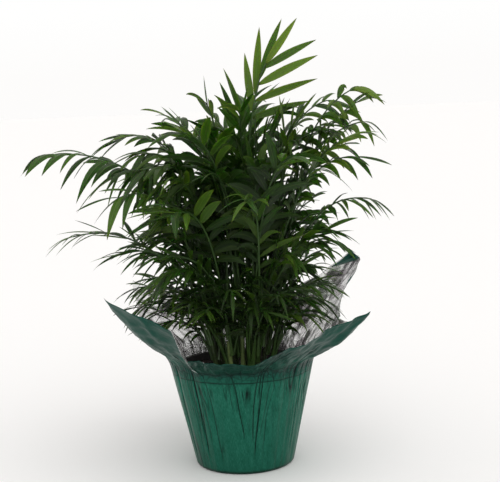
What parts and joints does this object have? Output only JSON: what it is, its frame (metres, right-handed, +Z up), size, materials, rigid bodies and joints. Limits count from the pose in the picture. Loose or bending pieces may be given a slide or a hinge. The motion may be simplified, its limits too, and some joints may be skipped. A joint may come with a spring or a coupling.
{
  "type": "potted palm",
  "caption": "Clump-grown parlour palm in a nursery pot, standing in a pressed foil wrap whose square skirt flares above the rim.",
  "frame": {"origin": "middle of the wrap's flat bottom, on the surface that the pot stands on", "axes": "+Z up out of the pot; -Y is the front, the middle of the skirt's lowest side; +X to the right seen from the front"},
  "size_m": [0.4142, 0.3465, 0.4931],
  "materials": {
    "foil": "satin",
    "pot": "satin",
    "soil": "matte",
    "cane": "satin",
    "frond": "satin"
  },
  "bodies": {
    "root": {"foil_wrap": "foil", "nursery_pot": "pot", "potting_soil": "soil", "cane_01": "cane", "cane_02": "cane", "cane_03": "cane", "cane_04": "cane", "cane_05": "cane", "cane_06": "cane", "cane_07": "cane", "cane_08": "cane", "cane_09": "cane", "cane_10": "cane", "cane_11": "cane", "cane_12": "cane", "cane_13": "cane", "cane_14": "cane", "frond_01": "frond", "frond_02": "frond", "frond_03": "frond", "frond_04": "frond", "frond_05": "frond", "frond_06": "frond", "frond_07": "frond", "frond_08": "frond", "frond_09": "frond", "frond_10": "frond", "frond_11": "frond", "frond_12": "frond", "frond_13": "frond", "frond_14": "frond", "frond_15": "frond", "frond_16": "frond", "frond_17": "frond", "frond_18": "frond", "frond_19": "frond", "frond_20": "frond", "frond_21": "frond", "frond_22": "frond", "frond_23": "frond", "frond_24": "frond", "frond_25": "frond", "frond_26": "frond", "frond_27": "frond", "frond_28": "frond", "frond_29": "frond", "frond_30": "frond", "frond_31": "frond", "frond_32": "frond", "frond_33": "frond", "frond_34": "frond", "frond_35": "frond", "frond_36": "frond", "frond_37": "frond", "frond_38": "frond", "frond_39": "frond", "frond_40": "frond", "frond_41": "frond", "frond_42": "frond"}
  },
  "joints": []
}
